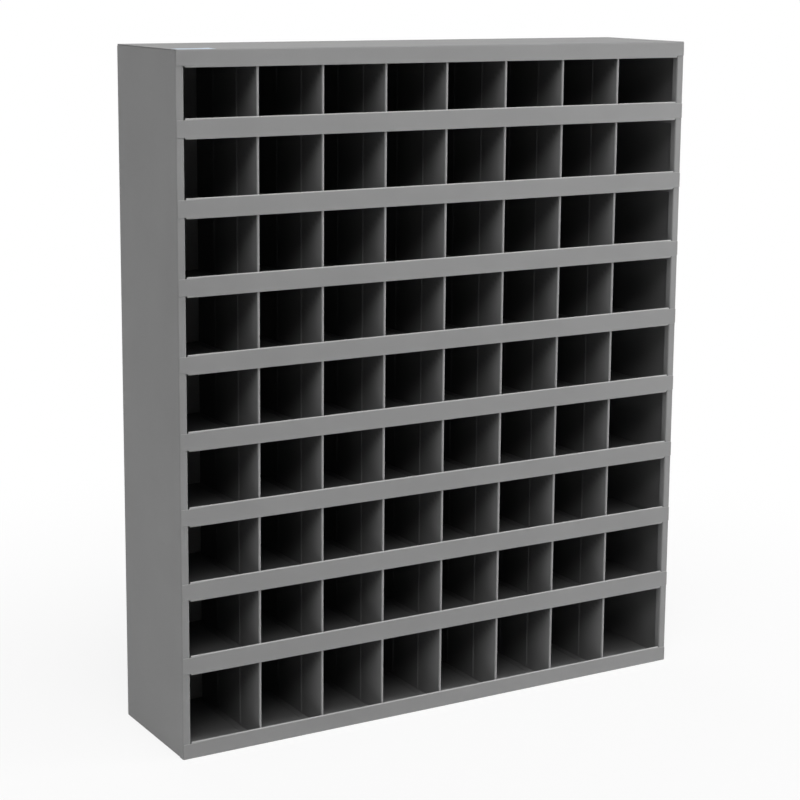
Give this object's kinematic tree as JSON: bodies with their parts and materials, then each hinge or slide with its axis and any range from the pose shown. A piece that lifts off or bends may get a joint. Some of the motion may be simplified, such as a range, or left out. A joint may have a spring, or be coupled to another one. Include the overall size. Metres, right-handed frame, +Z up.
{
  "type": "steel pigeonhole bin unit",
  "caption": "Free-standing grey steel pigeonhole unit: a shallow case of open bins with hemmed shelf lips and upright dividers, for sorting small parts or papers.",
  "frame": {"origin": "on the ground under the middle of the unit", "axes": "+Z up, +X to the right as seen from the front, +Y from the open front to the back panel"},
  "size_m": [0.9144, 0.216, 1.0669],
  "materials": {
    "case_paint": "grey powder coat, satin",
    "shelf_paint": "grey powder coat, satin",
    "divider_paint": "grey powder coat, satin",
    "label_film": "plain label film"
  },
  "bodies": {
    "root": {"left_side_panel": "case_paint", "right_side_panel": "case_paint", "top_panel": "case_paint", "bottom_panel": "case_paint", "back_panel": "case_paint", "shelf_1": "shelf_paint", "shelf_2": "shelf_paint", "shelf_3": "shelf_paint", "shelf_4": "shelf_paint", "shelf_5": "shelf_paint", "shelf_6": "shelf_paint", "shelf_7": "shelf_paint", "shelf_8": "shelf_paint", "row_1_dividers": "divider_paint", "row_2_dividers": "divider_paint", "row_3_dividers": "divider_paint", "row_4_dividers": "divider_paint", "row_5_dividers": "divider_paint", "row_6_dividers": "divider_paint", "row_7_dividers": "divider_paint", "row_8_dividers": "divider_paint", "row_9_dividers": "divider_paint", "blank_label": "label_film"}
  },
  "joints": []
}
